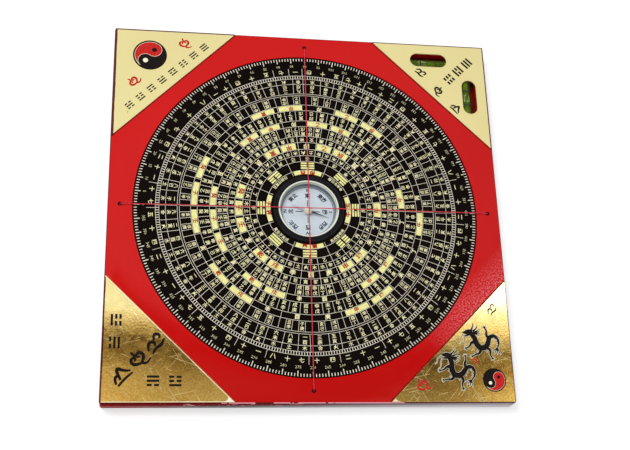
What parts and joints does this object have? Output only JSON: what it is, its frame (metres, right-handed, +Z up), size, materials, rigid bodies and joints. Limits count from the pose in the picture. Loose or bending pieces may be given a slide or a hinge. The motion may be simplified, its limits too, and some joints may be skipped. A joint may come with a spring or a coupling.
{
  "type": "feng shui compass",
  "caption": "Square lacquered board with a round dial that turns, a magnetic needle capsule under crossed threads, and spirit vials, for reading directions.",
  "frame": {"origin": "under the centre of the board, on the plane it rests on", "axes": "+Z up out of the dial, +X to the right and +Y to the back, with the vials in the back right corner"},
  "size_m": [0.21, 0.21, 0.0121],
  "materials": {
    "board_lacquer": "gloss red lacquer",
    "base_primer": "matt grey primer",
    "satin_plate": "pale gold satin",
    "foil_plate": "gold foil",
    "thread": "red nylon",
    "felt": "felt",
    "vial_tube": "clear",
    "vial_liquid": "clear green",
    "vial_plug": "clear yellow green",
    "bubble": "clear",
    "dial_core": "matt black",
    "dial_print": "semi-gloss black with cream print",
    "capsule_black": "semi-gloss black",
    "capsule_ivory": "satin ivory",
    "card": "matt pale blue",
    "clear_glass": "clear",
    "bright_steel": "bright",
    "spring_steel": "satin",
    "needle_steel": "blued",
    "cap_brass": "pale gold"
  },
  "bodies": {
    "board": {"frame_panel": "board_lacquer", "base_panel": "base_primer", "corner_plate_back_left": "satin_plate", "corner_plate_back_right": "satin_plate", "corner_plate_front_left": "foil_plate", "corner_plate_front_right": "foil_plate", "thread_left_right": "thread", "thread_front_back": "thread", "slip_washer": "felt", "vial_tube_x": "vial_tube", "vial_tube_y": "vial_tube", "vial_liquid_x": "vial_liquid", "vial_liquid_y": "vial_liquid", "vial_plug_x_left": "vial_plug", "vial_plug_x_right": "vial_plug", "vial_plug_y_front": "vial_plug", "vial_plug_y_back": "vial_plug"},
    "dial": {"dial_disc": "dial_core", "dial_face": "dial_print", "capsule_housing": "capsule_black", "capsule_liner": "capsule_ivory", "compass_card": "card", "capsule_glass": "clear_glass", "pivot_pin": "bright_steel", "retaining_ring": "spring_steel"},
    "needle": {"needle_blade": "needle_steel", "needle_cap": "cap_brass"},
    "bubble_x": {"vial_bubble_x": "bubble"},
    "bubble_y": {"vial_bubble_y": "bubble"}
  },
  "joints": [
    {"name": "dial_spin", "type": "hinge", "parent": "board", "child": "dial", "pos_m": [0, 0, 0.0077], "axis": [0, 0, 1], "continuous": true},
    {"name": "needle_swing", "type": "hinge", "parent": "dial", "child": "needle", "pos_m": [0, 0, 0.0081], "axis": [0, 0, 1], "continuous": true},
    {"name": "bubble_x_slide", "type": "slide", "parent": "board", "child": "bubble_x", "axis": [1, 0, 0], "range_m": [-0.0026, 0.0096]},
    {"name": "bubble_y_slide", "type": "slide", "parent": "board", "child": "bubble_y", "axis": [0, 1, 0], "range_m": [-0.0061, 0.0061]}
  ]
}
